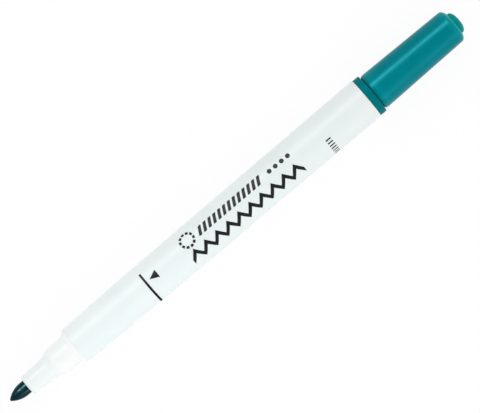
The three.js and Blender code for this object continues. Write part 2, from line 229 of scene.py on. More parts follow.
def turned(name, node, outline, node_front=0.0, around=AROUND):
    """Turns a piece round the pen's axis by extruding a circle along an outline of rings (x, radius).

    node_front is the x of the CAD node's front face. An outline from axis to axis closes in two poles,
    and one that stays off the axis is bridged into a closed wall."""
    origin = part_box(node)[0].x / MM - node_front
    rings = [(origin + x, radius) for x, radius in outline]
    on_axis = rings[0][1] == 0
    drawn = rings[1:] if on_axis else rings
    start_clean()
    bpy.ops.mesh.primitive_circle_add(
        vertices=around,
        radius=drawn[0][1] * MM,
        location=(drawn[0][0] * MM, 0, AXIS_Z),
        rotation=(0, math.pi / 2, 0),
    )
    piece = settle(name)
    bpy.ops.object.mode_set(mode="EDIT")
    bpy.ops.mesh.select_mode(type="EDGE")
    bpy.ops.mesh.select_all(action="SELECT")
    for here, there in zip(drawn, drawn[1:]):
        draw_on(here, there)
    if on_axis:
        choose_ring(piece, *drawn[0])
        draw_on(drawn[0], rings[0])
    else:
        bpy.ops.mesh.select_all(action="DESELECT")
        bpy.ops.mesh.select_non_manifold()
        bpy.ops.mesh.bridge_edge_loops()
    bpy.ops.mesh.select_all(action="SELECT")
    bpy.ops.mesh.normals_make_consistent(inside=False)
    start_clean()
    return piece, origin


def round_off(piece, origin, *rings, radius, segments=4):
    """Bevels whole rings of edges one by one, each given by x from the piece's origin and its radius."""
    for x, size in rings:
        choose_ring(piece, origin + x, size)
        bpy.ops.mesh.bevel(
            offset=radius * MM, offset_type="OFFSET", segments=segments, profile=0.5, affect="EDGES"
        )
    start_clean()


def oval(x, radius, length, height, start, stop, steps):
    """Rings along a part of an oval round (x, radius), between two angles in degrees from +x outwards."""
    angles = [math.radians(start + (stop - start) * i / steps) for i in range(steps + 1)]
    return [(x + length * math.cos(a), radius + height * math.sin(a)) for a in angles]


def bar(name, along, outwards, thickness, edge=0.08, rear_drop=0.0):
    """A bar above the axis, between two places along the pen and two radii, with rounded edges.

    rear_drop lowers the rear end of its lower face, for a bore that narrows."""
    start_clean()
    middle = (sum(along) / 2 * MM, 0, AXIS_Z + sum(outwards) / 2 * MM)
    bpy.ops.mesh.primitive_cube_add(size=1, location=middle)
    piece = settle(name, ((along[1] - along[0]) * MM, thickness * MM, (outwards[1] - outwards[0]) * MM))
    if rear_drop:
        choose(piece, "EDGE", lambda co: co.x > middle[0] and co.z < middle[2])
        bpy.ops.transform.translate(value=(0, 0, -rear_drop * MM))
    finish_with(piece, "BEVEL", width=edge * MM, segments=2)
    return piece


def copies(piece, moves):
    """Copies a piece to each place, every copy with its own mesh, and joins them into one object."""
    name = piece.name
    made = []
    for move in moves:
        copy = piece.copy()
        copy.data = piece.data.copy()
        copy.data.transform(move)
        bpy.context.scene.collection.objects.link(copy)
        made.append(copy)
    bpy.data.objects.remove(piece)
    take(*made)
    bpy.ops.object.join()
    joined = bpy.context.object
    joined.name = joined.data.name = name
    return joined


def copies_round(piece, count, first_turn=0.0):
    centre = Matrix.Translation((0, 0, AXIS_Z))
    turns = [first_turn + i * 2 * math.pi / count for i in range(count)]
    return copies(piece, [centre @ Matrix.Rotation(turn, 4, "X") @ centre.inverted() for turn in turns])


def join_to(piece, part):
    take(piece, part)
    bpy.ops.object.join()


def cut_away(piece, cutter):
    finish_with(piece, "BOOLEAN", operation="DIFFERENCE", solver="EXACT", object=cutter)
    bpy.data.objects.remove(cutter)


# Shapes of the six pieces that show


def bullet_nib():
    """A blunted ogive in front, a straight rod, and a coned tail that ends in the reservoir."""
    tip = NIB_POINT_RADIUS
    reach = NIB_BULLET_LENGTH - tip
    ogive = (reach**2 + NIB_RADIUS**2 - tip**2) / (2 * (NIB_RADIUS - tip))
    centre = NIB_RADIUS - ogive
    meet = math.degrees(math.atan2(-centre, -reach))
    outline = [(0, 0), *oval(tip, 0, tip, tip, 180, meet, steps=5)[1:]]
    outline += oval(NIB_BULLET_LENGTH, centre, ogive, ogive, meet, 90, steps=16)[1:]
    outline += [(NIB_ROD_END, NIB_RADIUS), (NIB_END, NIB_END_RADIUS), (NIB_END, 0)]
    return turned("bullet_nib", "fibre_nib", outline, around=AROUND_NIB)[0]


def beads(*middles, radius):
    """The outline of two low beads on a pressed skirt."""
    return [
        (middle + x, radius + height)
        for middle in middles
        for x, height in ((-0.6, 0), (-0.2, 0.1), (0.2, 0.1), (0.6, 0))
    ]


def stepped_holder():
    """The slim collar, the eased step up to the cap's seat, the sloping shoulder and the hidden skirt."""
    steps = 10
    step = [
        (
            COLLAR_LENGTH + (SEAT_FRONT - COLLAR_LENGTH) * i / steps,
            COLLAR_REAR + (SEAT_FRONT_RADIUS - COLLAR_REAR) * math.sin(i / steps * math.pi / 2),
        )
        for i in range(1, steps + 1)
    ]
    outline = [(0, COLLAR_FRONT), (COLLAR_LENGTH, COLLAR_REAR), *step]
    outline += [(SEAT_REAR, SEAT_REAR_RADIUS), (SHOULDER_RIM, SHOULDER)]
    outline += [(SHOULDER_REAR, SHOULDER), (SHOULDER_REAR, HOLDER_SKIRT)]
    outline += beads(*HOLDER_BEADS, radius=HOLDER_SKIRT)
    outline += [(HOLDER_END - SKIRT_CHAMFER, HOLDER_SKIRT), (HOLDER_END, HOLDER_END_RADIUS)]
    outline += [(HOLDER_END, CHAMBER), (CHAMBER_FRONT, CHAMBER), (SEAT_FRONT, NIB_BORE), (0, NIB_BORE)]
    piece, origin = turned("stepped_holder", "nib_holder", outline)
    round_off(piece, origin, (0, COLLAR_FRONT), radius=0.38)
    round_off(piece, origin, (0, NIB_BORE), radius=0.12, segments=3)
    round_off(piece, origin, (COLLAR_LENGTH, COLLAR_REAR), radius=0.25, segments=3)
    round_off(piece, origin, (SEAT_REAR, SEAT_REAR_RADIUS), radius=0.2, segments=3)
    round_off(piece, origin, (SHOULDER_RIM, SHOULDER), radius=0.1, segments=3)
    round_off(piece, origin, (SHOULDER_REAR, SHOULDER), radius=0.03, segments=3)
    along = (origin - CUT_OVERRUN, origin + CHAMBER_FRONT)
    grooves = bar("air_grooves", along, outwards=(0.9, NIB_BORE + 0.3), thickness=0.6, edge=0.05)
    cut_away(piece, copies_round(grooves, 3))
    along = (origin + 9.25, origin + 18.75)
    fins = bar("nib_fins", along, outwards=(NIB_BORE, CHAMBER + 0.3), thickness=0.7)
    join_to(piece, copies_round(fins, 4, first_turn=math.pi / 4))
    return piece


def barrel_radius(behind):
    """The barrel's outer radius at a place behind its front: a straight taper, drawn in near the front."""
    slope = (BARREL_REAR - BARREL_SWELL) / (BARREL_LENGTH - BARREL_SWELL_LENGTH)
    drop = BARREL_SWELL - slope * BARREL_SWELL_LENGTH - BARREL_FRONT
    straight = BARREL_SWELL + slope * (behind - BARREL_SWELL_LENGTH)
    return straight - drop * max(1 - behind / BARREL_SWELL_LENGTH, 0) ** 2


def swelling_barrel():
    """A tube that swells towards the rear, with six ribs inside that hold the reservoir off its wall."""
    front = -FRONT_SEAM_FILL
    rear = BARREL_LENGTH + REAR_SEAM_FILL
    steps = 16
    places = [BARREL_SWELL_LENGTH * i / steps for i in range(1, steps + 1)] + [50, 66, 82]
    outline = [(front, BARREL_FRONT)] + [(behind, barrel_radius(behind)) for behind in places]
    outline += [(rear, BARREL_REAR), (rear, BARREL_REAR_BORE), (front, BARREL_FRONT_BORE)]
    piece, origin = turned("swelling_barrel", "barrel", outline)
    round_off(piece, origin, (front, BARREL_FRONT), radius=0.04, segments=3)
    round_off(piece, origin, (rear, BARREL_REAR), radius=0.05, segments=3)
    ribs = bar("reservoir_ribs", (origin + 13, origin + 81.4), outwards=(3.58, 4.4), thickness=0.6)
    join_to(piece, copies_round(ribs, 6))
    return piece


def rear_plug():
    """The flange that closes the barrel, the hollow spigot behind it, and the skirt inside the barrel."""
    outline = [(SPIGOT_BORE_END, 0), (SPIGOT_BORE_END, SPIGOT_BORE), (0, SPIGOT_BORE)]
    outline += [(-0.475, PLUG_SKIRT_BORE), (PLUG_FRONT, PLUG_SKIRT_BORE)]
    outline += [(PLUG_FRONT, PLUG_FRONT_RADIUS), (PLUG_FRONT + SKIRT_CHAMFER, PLUG_SKIRT)]
    outline += beads(*PLUG_BEADS, radius=PLUG_SKIRT)
    outline += [(0, PLUG_SKIRT), (0, FLANGE_RADIUS), (FLANGE_THICKNESS, FLANGE_RADIUS)]
    outline += [(FLANGE_THICKNESS, SPIGOT_FRONT), (SPIGOT_END, SPIGOT_REAR)]
    dent = SPIGOT_END - SPIGOT_DENT
    outline += [(SPIGOT_END, 0.8), (dent, 0.65), (dent, 0)]
    piece, origin = turned("rear_plug", "end_plug", outline, node_front=PLUG_FRONT)
    round_off(piece, origin, (0, FLANGE_RADIUS), (FLANGE_THICKNESS, FLANGE_RADIUS), radius=0.2)
    round_off(piece, origin, (SPIGOT_END, SPIGOT_REAR), radius=0.6, segments=6)
    web = bar("cross_web", (origin + PLUG_FRONT, origin - 5), outwards=(0.0, 3.5), thickness=0.8)
    join_to(piece, copies_round(web, 4))
    return piece


def vented_cap():
    """A tapered shell with an eased lip, a domed end with a hole for the stem, eight grip ribs inside,
    and four grooves inside the end that let air out round the stem."""
    hole = math.degrees(math.asin(STEM_HOLE / CAP_END))
    dome_start = CAP_LENGTH - CAP_DOME_HEIGHT * math.cos(math.radians(hole))
    lip = CAP_MOUTH - CAP_LIP_DROP
    outline = oval(CAP_LIP_LENGTH, lip, CAP_LIP_LENGTH, CAP_LIP_DROP, 180, 90, steps=10)
    outline += oval(dome_start, 0, CAP_DOME_HEIGHT, CAP_END, 90, hole, steps=14)
    outline += [(CAP_BORE_DEPTH, STEM_HOLE), (CAP_BORE_DEPTH, CAP_END_BORE)]
    outline += [(CAP_MOUTH_CHAMFER, CAP_MOUTH_BORE), (0, CAP_MOUTH_BORE + CAP_MOUTH_CHAMFER)]
    piece, origin = turned("vented_cap", "cap_shell", outline)
    round_off(piece, origin, (CAP_LENGTH, STEM_HOLE), radius=0.08, segments=2)
    along = (origin + CAP_BORE_DEPTH - CUT_OVERRUN, origin + CAP_BORE_DEPTH + 0.6)
    vents = bar("vents", along, outwards=(1.44, 3.58), thickness=1.2)
    cut_away(piece, copies_round(vents, 4, first_turn=math.pi / 4))
    along = (origin + 1.2, origin + 8.2)
    ribs = bar("grip_ribs", along, outwards=(3.98, 4.3), thickness=0.5, rear_drop=0.12)
    join_to(piece, copies_round(ribs, 8, first_turn=math.pi / 8))
    return piece


def inner_seal():
    """A thimble with a soft lip and four centring fins, whose stem passes through the cap's end."""
    side, bore, lip = 3.263, 2.713, 2.613
    side_edge, bore_edge, lip_edge = 3.047, 2.497, 2.83
    chamfer = 0.217
    lip_length = 1
    outline = [(SEAL_BORE_END, 0), (SEAL_BORE_END, bore_edge), (SEAL_BORE_END - chamfer, bore)]
    outline += [(lip_length, bore), (lip_length - chamfer, lip), (chamfer, lip)]
    outline += [(0, lip_edge), (0, side_edge), (chamfer, side), (SEAL_BACK, side), (SEAL_BACK, STEM)]
    dome_start = STEM_END - STEM_DOME_HEIGHT
    outline += oval(dome_start, STEM_FLAT, STEM_DOME_HEIGHT, STEM - STEM_FLAT, 90, 0, steps=12)
    dent = STEM_END - STEM_DENT
    outline += [(dent, 0.5), (dent, 0)]
    piece, origin = turned("inner_seal", "cap_inner_seal", outline)
    fins = bar("centring_fins", (origin + 4, origin + SEAL_BACK), outwards=(2.9, 3.633), thickness=0.7)
    join_to(piece, copies_round(fins, 4))
    return piece


# Marks of the print, drawn flat on the plane y = 0, with the arc round the barrel as z. Their places
# along the pen are counted from the barrel's front.


def flat_bar(name, behind, arc, width, height):
    start_clean()
    place = ((BARREL_AT + behind) * MM, 0, arc * MM)
    bpy.ops.mesh.primitive_plane_add(size=1, location=place, rotation=(math.pi / 2, 0, 0))
    return settle(name, (width * MM, height * MM, 1))


def soften_corners(mark, radius):
    choose(mark, "EDGE", lambda co: True)
    bpy.ops.mesh.bevel(offset=radius * MM, offset_type="OFFSET", segments=3, affect="VERTICES")
    start_clean()


def in_a_row(mark, count, step):
    """Copies a flat mark, with one step (along the pen, round the barrel) from each copy to the next."""
    along, arc = step
    return copies(mark, [Matrix.Translation((i * along * MM, 0, i * arc * MM)) for i in range(count)])


def ring_line():
    """A thin line that runs most of the way across the barrel's printed side and over its edge."""
    return flat_bar("print_ring_line", 22.76, arc=-2.6, width=0.58, height=11.6)


def pointer():
    """A solid triangle that points to the line and the nib."""
    middle = 25.1
    mark = flat_bar("print_pointer", middle, arc=0.54, width=2.35, height=2.2)
    choose(mark, "EDGE", lambda co: co.x < (BARREL_AT + middle) * MM)
    bpy.ops.mesh.merge(type="CENTER")
    return mark


def stitched_hoop():
    """A hoop of short curved stitches: a ring of faces from which every third pair is left out."""
    middle = Vector(((BARREL_AT + 36.76) * MM, 0, 1.95 * MM))
    faces = 60
    inner = 0.7
    start_clean()
    bpy.ops.mesh.primitive_circle_add(
        vertices=faces, radius=2.1 * MM, location=middle, rotation=(math.pi / 2, 0, 0)
    )
    mark = settle("print_stitched_hoop")
    bpy.ops.object.mode_set(mode="EDIT")
    bpy.ops.mesh.select_all(action="SELECT")
    bpy.ops.mesh.extrude_region_move(TRANSFORM_OT_translate={"value": (0, 0, 0)})
    bpy.ops.transform.resize(value=(inner, 1, inner), center_override=middle)
    start_clean()
    for face in mark.data.polygons:
        out = face.center - middle
        turn = math.atan2(out.z, out.x) % (2 * math.pi)
        number = int(turn / (2 * math.pi / faces))
        face.select = number % 6 < 2
    bpy.ops.object.mode_set(mode="EDIT")
    bpy.ops.mesh.select_mode(type="FACE")
    bpy.ops.mesh.delete(type="FACE")
    start_clean()
    return mark


def slanted_stitches():
    """A row of slanted stitches, one drawn and the others copied along the pen."""
    slant = 1.15
    mark = flat_bar("print_slanted_stitches", 40.1, UPPER_ROW, width=0.9, height=2.3)
    choose(mark, "EDGE", lambda co: co.z > UPPER_ROW * MM)
    bpy.ops.transform.translate(value=(slant * MM, 0, 0))
    soften_corners(mark, 0.2)
    return in_a_row(mark, count=13, step=(1.52, 0))


def knots():
    """A few round knots behind the slanted stitches."""
    start_clean()
    place = ((BARREL_AT + 62.36) * MM, 0, UPPER_ROW * MM)
    bpy.ops.mesh.primitive_circle_add(
        vertices=24, radius=0.6 * MM, fill_type="NGON", location=place, rotation=(math.pi / 2, 0, 0)
    )
    return in_a_row(settle("print_knots"), count=4, step=(1.9, 0))


def bold_zigzag():
    """A bold zigzag seam: its first leg is a sheared bar, and each further leg is extruded from the last."""
    legs = 20
    leg = 1.73
    rise = 2.3
    middle = 34.8 + leg / 2
    mark = flat_bar("print_bold_zigzag", middle, LOWER_ROW - rise / 2, width=leg, height=1.45)
    choose(mark, "EDGE", lambda co: co.x > (BARREL_AT + middle) * MM)
    bpy.ops.transform.translate(value=(0, 0, rise * MM))
    for i in range(legs - 1):
        fall = -rise if i % 2 == 0 else rise
        bpy.ops.mesh.extrude_region_move(TRANSFORM_OT_translate={"value": (leg * MM, 0, fall * MM)})
    start_clean()
    return mark


def tick_scale():
    """Fine ticks near the plug, one below the other round the barrel."""
    mark = flat_bar("print_tick_scale", 78.0, arc=-1.6, width=1.5, height=0.36)
    return in_a_row(mark, count=7, step=(0, -0.9))


def roll_on(mark, barrel, material):
    """Slices a flat mark, bends it round the barrel, lays it on and gives the ink its thickness."""
    heights = [vertex.co.z for vertex in mark.data.vertices]
    low, high = min(heights), max(heights)
    middle = sum(vertex.co.x for vertex in mark.data.vertices) / len(heights)
    radius = barrel_radius(middle / MM - BARREL_AT) * MM
    take(mark)
    bpy.ops.object.mode_set(mode="EDIT")
    slices = math.ceil((high - low) / (SLICE * MM))
    for i in range(1, slices):
        bpy.ops.mesh.select_all(action="SELECT")
        bpy.ops.mesh.bisect(plane_co=(0, 0, low + (high - low) * i / slices), plane_no=(0, 0, 1))
    start_clean()
    finish_with(mark, "SIMPLE_DEFORM", deform_method="BEND", deform_axis="X", angle=(high - low) / radius)
    mark.rotation_euler.x = -math.pi / 2
    mark.location.z = AXIS_Z + radius
    bpy.ops.object.transform_apply(location=True, rotation=True, scale=True)
    finish_with(mark, "SHRINKWRAP", target=barrel, wrap_method="NEAREST_SURFACEPOINT")
    face = mark.data.polygons[0]
    if face.normal.dot(face.center - Vector((face.center.x, 0, AXIS_Z))) < 0:
        mark.data.flip_normals()
    finish_with(mark, "SOLIDIFY", thickness=INK_THICKNESS * MM, offset=1)
    dress(mark, material)
    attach(mark, "pen")


# Finishes


def add(tree, kind, inputs=None, **settings):
    """Adds a shader node. An input is given by name or number, as a value or as the socket that feeds it."""
    node = tree.nodes.new("ShaderNode" + kind)
    for key, value in settings.items():
        setattr(node, key, value)
    for key, value in (inputs or {}).items():
        if isinstance(value, bpy.types.NodeSocket):
            tree.links.new(value, node.inputs[key])
        else:
            node.inputs[key].default_value = value
    return node


def calc(tree, operation, first, second=0.0):
    return add(tree, "Math", {0: first, 1: second}, operation=operation).outputs[0]


def remap(tree, value, low, high, to_low=0.0, to_high=1.0):
    """Maps a range onto another, held at both ends."""
    inputs = {"Value": value, "From Min": low, "From Max": high, "To Min": to_low, "To Max": to_high}
    return add(tree, "MapRange", inputs).outputs["Result"]


def swing(tree, value):
    """Maps the middle of a noise onto -1 to 1."""
    return remap(tree, value, 0.3, 0.7, to_low=-1.0)


def blend(tree, share, first, second, blend_type="MIX"):
    """Mixes two colours."""
    inputs = {0: share, 6: first, 7: second}
    return add(tree, "Mix", inputs, data_type="RGBA", blend_type=blend_type).outputs[2]


def stretched(tree, position, stretch):
    """Millimetre coordinates, stretched along each axis."""
    scale = tuple(1 / (MM * each) for each in stretch)
    return add(tree, "VectorMath", {0: position, 1: scale}, operation="MULTIPLY").outputs[0]


def noise(tree, vector, scale, detail=2.0, roughness=0.5):
    inputs = {"Vector": vector, "Scale": scale, "Detail": detail, "Roughness": roughness}
    return add(tree, "TexNoise", inputs).outputs["Fac"]


def new_group(name, inputs, outputs):
    """A shader node group with named sockets: a float, a colour of four parts, or None for a vector."""
    tree = bpy.data.node_groups.new(name, "ShaderNodeTree")
    for label, value in inputs.items():
        kind = "Vector" if value is None else "Float" if isinstance(value, float) else "Color"
        socket = tree.interface.new_socket(label, in_out="INPUT", socket_type="NodeSocket" + kind)
        if value is not None:
            socket.default_value = value
    for label, kind in outputs.items():
        tree.interface.new_socket(label, in_out="OUTPUT", socket_type="NodeSocket" + kind)
    given = tree.nodes.new("NodeGroupInput").outputs
    return tree, given, tree.nodes.new("NodeGroupOutput")


def moulded_surface():
    """Moulded plastic: a cloudy tone, fine grain, drag lines from the mould, scuffs, and paler rims that are
    partly wear and partly a painted highlight.
    """
    tree, given, out = new_group(
        "moulded surface",
        {
            "Position": None,
            "Colour": (0.8, 0.8, 0.8, 1.0),
            "Cloud Size": 5.0,
            "Cloud Depth": 0.03,
            "Grain Height": 0.001,
            "Drag Height": 0.002,
            "Roughness": 0.4,
            "Scuffs": 0.3,
            "Rim": 0.0,
            "Rim Wear And Highlight Colour": (0.8, 0.8, 0.8, 1.0),
        },
        {"Colour": "Color", "Roughness": "Float", "Height": "Float"},
    )
    even = stretched(tree, given["Position"], (1, 1, 1))
    cloud = swing(tree, noise(tree, even, calc(tree, "DIVIDE", 1.0, given["Cloud Size"])))
    tone = calc(tree, "MULTIPLY", cloud, given["Cloud Depth"])
    cloudy = add(tree, "HueSaturation", {"Value": calc(tree, "ADD", tone, 1.0), "Color": given["Colour"]})
    grain = swing(tree, noise(tree, even, scale=3.5, detail=3.0))
    long_lines = stretched(tree, given["Position"], (14, 1, 1))
    drag = swing(tree, noise(tree, long_lines, scale=2.2, detail=4.0, roughness=0.6))
    askew = add(tree, "Mapping", {"Vector": even, "Rotation": (0.5, 0.3, 0.6), "Scale": (0.9, 0.12, 0.5)})
    wander = noise(tree, askew.outputs[0], scale=1.1, detail=1.0)
    crossing = calc(tree, "ABSOLUTE", calc(tree, "SUBTRACT", wander, 0.5))
    hairline = remap(tree, crossing, 0.0, 0.006, to_low=1.0, to_high=0.0)
    patches = remap(tree, noise(tree, even, scale=0.16), 0.5, 0.64)
    scuff = calc(tree, "MULTIPLY", calc(tree, "MULTIPLY", hairline, patches), given["Scuffs"])
    # Rounded rims are made paler in patches, partly as wear and partly as a painted highlight on the edge
    worn = remap(tree, noise(tree, even, scale=0.7, detail=4.0), 0.35, 0.6, to_low=0.35)
    rim = calc(tree, "MULTIPLY", given["Rim"], worn)
    paler = blend(tree, rim, cloudy.outputs["Color"], given["Rim Wear And Highlight Colour"])
    tree.links.new(paler, out.inputs["Colour"])
    rough = calc(tree, "ADD", given["Roughness"], calc(tree, "MULTIPLY", drag, 0.03))
    rough = calc(tree, "ADD", rough, calc(tree, "MULTIPLY", grain, 0.02))
    rough = calc(tree, "ADD", rough, calc(tree, "MULTIPLY", scuff, 0.3))
    tree.links.new(rough, out.inputs["Roughness"])
    height = calc(tree, "MULTIPLY", grain, given["Grain Height"])
    height = calc(tree, "ADD", height, calc(tree, "MULTIPLY", drag, given["Drag Height"]))
    height = calc(tree, "SUBTRACT", height, calc(tree, "MULTIPLY", scuff, 0.003))
    tree.links.new(height, out.inputs["Height"])
    return tree


def fibre_strands():
    """Strands that run along the pen, so that they show as streaks on the sides and as dots on the ends."""
    tree, given, out = new_group(
        "fibre strands",
        {
            "Position": None,
            "Dark": (0.0, 0.0, 0.0, 1.0),
            "Light": (0.1, 0.1, 0.1, 1.0),
            "Strand Width": 0.15,
            "Depth": 0.01,
            "Roughness": 0.7,
            "Wetness": 0.5,
        },
        {"Colour": "Color", "Roughness": "Float", "Height": "Float", "Wet": "Float"},
    )
    strand_space = stretched(tree, given["Position"], (9, 1, 1))
    per_strand = calc(tree, "DIVIDE", 1.0, given["Strand Width"])
    strands = noise(tree, strand_space, per_strand, detail=3.0, roughness=0.6)
    patch_space = stretched(tree, given["Position"], (2.2, 1, 1))
    damp = remap(tree, noise(tree, patch_space, scale=0.9), 0.42, 0.62)
    streak = remap(tree, strands, 0.34, 0.72)
    tree.links.new(blend(tree, streak, given["Dark"], given["Light"]), out.inputs["Colour"])
    wet = calc(tree, "MULTIPLY", damp, given["Wetness"])
    rough = calc(tree, "SUBTRACT", given["Roughness"], calc(tree, "MULTIPLY", wet, 0.35))
    tree.links.new(rough, out.inputs["Roughness"])
    tree.links.new(calc(tree, "MULTIPLY", streak, given["Depth"]), out.inputs["Height"])
    tree.links.new(wet, out.inputs["Wet"])
    return tree


def ink_bleed():
    """A mask for ink that creeps along the pen from a place, with a wavy front."""
    inputs = {"Position": None, "Start": 0.0, "Reach": 1.0}
    tree, given, out = new_group("ink bleed", inputs, {"Mask": "Float"})
    even = stretched(tree, given["Position"], (1, 1, 1))
    along = add(tree, "SeparateXYZ", {0: even}).outputs["X"]
    wave = calc(tree, "SUBTRACT", noise(tree, even, scale=0.9, detail=3.0), 0.5)
    wave = calc(tree, "MULTIPLY", wave, given["Reach"])
    past = calc(tree, "ADD", calc(tree, "SUBTRACT", along, given["Start"]), wave)
    share = calc(tree, "DIVIDE", past, given["Reach"])
    tree.links.new(remap(tree, share, 0.0, 1.0, to_low=1.0, to_high=0.0), out.inputs["Mask"])
    return tree


def use(tree, group, inputs):
    """Places a node group with its own values, and gives what it puts out."""
    return add(tree, "Group", inputs, node_tree=group).outputs


def new_material(name, shader):
    """An empty material with a Principled shader, whose plain values are set on its own sockets."""
    material = bpy.data.materials.new(name)
    material.use_nodes = True
    tree = material.node_tree
    principled = tree.nodes["Principled BSDF"]
    for key, value in shader.items():
        principled.inputs[key].default_value = value
    position = add(tree, "TexCoord").outputs["Object"]
    return material, tree, principled, position


def bumped(tree, principled, height):
    """Feeds a height in millimetres to the shader's normal."""
    bump = add(tree, "Bump", {"Height": height, "Distance": MM, "Strength": 1.0})
    tree.links.new(bump.outputs["Normal"], principled.inputs["Normal"])


def moulding(name, surface, shader, stains=(), drifts_and_painted_light=()):
    """A moulded plastic.

    Each of the stains is (place in mm, reach in mm, share, colour) of ink that shows before that place.
    Each drift is (from mm, to mm, tone): the colour is multiplied by the tone more and more between two
    places, which on the cap paints light and shade."""
    material, tree, principled, position = new_material(name, shader)
    rim = add(tree, "Attribute", attribute_name="rim").outputs["Fac"]
    look = use(tree, SURFACE, {"Position": position, "Rim": rim, **surface})
    colour = look["Colour"]
    along = add(tree, "SeparateXYZ", {0: position}).outputs["X"]
    # Drifts multiply the colour along the pen; on the cap they are painted light and shade
    for start, stop, tone in drifts_and_painted_light:
        share = remap(tree, along, start * MM, stop * MM)
        colour = blend(tree, share, colour, tone, blend_type="MULTIPLY")
    for start, reach, share, ink in stains:
        mask = use(tree, BLEED, {"Position": position, "Start": start, "Reach": reach})["Mask"]
        colour = blend(tree, calc(tree, "MULTIPLY", mask, share), colour, ink)
    tree.links.new(colour, principled.inputs["Base Color"])
    tree.links.new(look["Roughness"], principled.inputs["Roughness"])
    bumped(tree, principled, look["Height"])
    return material


def fibre(name, strands, shader, denser=None):
    """Bonded fibre. denser is (place in mm, reach in mm, colour) of fibre that is fuller of ink."""
    material, tree, principled, position = new_material(name, shader)
    look = use(tree, STRANDS, {"Position": position, **strands})
    colour = look["Colour"]
    if denser:
        start, reach, ink = denser
        mask = use(tree, BLEED, {"Position": position, "Start": start, "Reach": reach})["Mask"]
        colour = blend(tree, mask, colour, ink)
    tree.links.new(colour, principled.inputs["Base Color"])
    tree.links.new(look["Roughness"], principled.inputs["Roughness"])
    tree.links.new(look["Wet"], principled.inputs["Coat Weight"])
    bumped(tree, principled, look["Height"])
    return material


def dress(piece, material):
    piece.data.materials.clear()
    piece.data.materials.append(material)


def mark_rims(piece):
    """Stores a mask that is 1 along rounded edges, where a moulding wears first and is painted paler as a
    highlight.
    """
    mesh = piece.data
    bend = [0.0] * len(mesh.vertices)
    beside = {}
    for face in mesh.polygons:
        for key in face.edge_keys:
            beside.setdefault(key, []).append(face.normal)
    for key, normals in beside.items():
        if len(normals) == 2 and min(n.length for n in normals) > 0:
            angle = math.degrees(normals[0].angle(normals[1]))
            for i in key:
                bend[i] = max(bend[i], angle)
    shares = [(angle - RIM_START) / (RIM_FULL - RIM_START) for angle in bend]
    mask = mesh.attributes.new("rim", "FLOAT", "POINT")
    mask.data.foreach_set("value", [min(max(share, 0), 1) for share in shares])


def stand_in(piece, node, body, material):
    """Smooths a piece, dresses it and lets it stand for its CAD node."""
    mark_rims(piece)
    take(piece)
    bpy.ops.object.shade_smooth_by_angle(angle=math.radians(35))
    finish_with(piece, "WEIGHTED_NORMAL", keep_sharp=True, weight=50)
    dress(piece, material)
    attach(piece, body)
    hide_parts(node)


SURFACE = moulded_surface()
STRANDS = fibre_strands()
BLEED = ink_bleed()

NIB_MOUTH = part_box("nib_holder")[0].x / MM
CAP_FRONT, CAP_REAR = (corner.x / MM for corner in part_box("cap_shell"))
INK_TRACE = (0.02, 0.3, 0.36, 1)

white = moulding(
    "white moulding",
    {
        "Colour": (0.935, 0.978, 0.97, 1),
        "Cloud Size": 4.0,
        "Cloud Depth": 0.012,
        "Grain Height": 0.0012,
        "Drag Height": 0.0015,
        "Roughness": 0.34,
        "Scuffs": 0.5,
        "Rim Wear And Highlight Colour": (0.95, 0.98, 0.975, 1),
    },
    {
        "Specular IOR Level": 0.055,
        "Subsurface Weight": 0.15,
        "Subsurface Radius": (1, 1, 1),
        "Subsurface Scale": 0.0008,
    },
    stains=((NIB_MOUTH, 0.9, 0.1, INK_TRACE), (NIB_MOUTH + 6, 3, 0.055, INK_TRACE)),
    drifts_and_painted_light=((NIB_MOUTH + 13.2, NIB_MOUTH + 14.2, (1.04, 1.02, 1.025, 1)),),
)
milky = moulding(
    "milky moulding",
    {
        "Colour": (0.875, 0.957, 0.955, 1),
        "Cloud Size": 11.0,
        "Cloud Depth": 0.015,
        "Grain Height": 0.0015,
        "Drag Height": 0.003,
        "Roughness": 0.42,
        "Scuffs": 0.6,
        "Rim Wear And Highlight Colour": (0.9, 0.95, 0.945, 1),
    },
    {
        "Specular IOR Level": 0.07,
        "Subsurface Weight": 0.2,
        "Subsurface Radius": (1, 1, 1),
        "Subsurface Scale": 0.001,
    },
    # The barrel grows darker towards the rear
    drifts_and_painted_light=((BARREL_AT, BARREL_AT + BARREL_LENGTH, (0.915, 0.905, 0.9, 1)),),
)
teal = moulding(
    "teal moulding",
    {
        "Colour": (0.0, 0.195, 0.235, 1),
        "Cloud Size": 6.0,
        "Cloud Depth": 0.05,
        "Grain Height": 0.0012,
        "Drag Height": 0.002,
        "Roughness": 0.3,
        "Scuffs": 0.8,
        "Rim Wear And Highlight Colour": (0.0, 0.33, 0.34, 1),
    },
    {"Specular IOR Level": 0.1, "Specular Tint": (0.08, 0.9, 1.0, 1)},
    drifts_and_painted_light=(
        # Painted highlight: a lighter band just behind the cap's mouth, fading out about 3 mm back
        (CAP_FRONT + 3.2, CAP_FRONT + 1.2, (1, 1.17, 1.15, 1)),
        # Painted shade on the lip, where it faces the flange
        (CAP_FRONT + 1.2, CAP_FRONT + 0.4, (1, 0.82, 0.83, 1)),
        # Painted highlight over the domed end, growing towards the stem
        (CAP_REAR - 2.2, CAP_REAR - 0.2, (1, 1.45, 1.27, 1)),
    ),
)
soft_teal = moulding(
    "soft teal moulding",
    {
        "Colour": (0.0, 0.238, 0.235, 1),
        "Cloud Size": 3.0,
        "Cloud Depth": 0.04,
        "Grain Height": 0.002,
        "Drag Height": 0.001,
        "Roughness": 0.5,
        "Scuffs": 0.4,
        "Rim Wear And Highlight Colour": (0.0, 0.27, 0.265, 1),
    },
    {"Specular IOR Level": 0.08, "Specular Tint": (0.0, 0.9, 1.0, 1)},
)
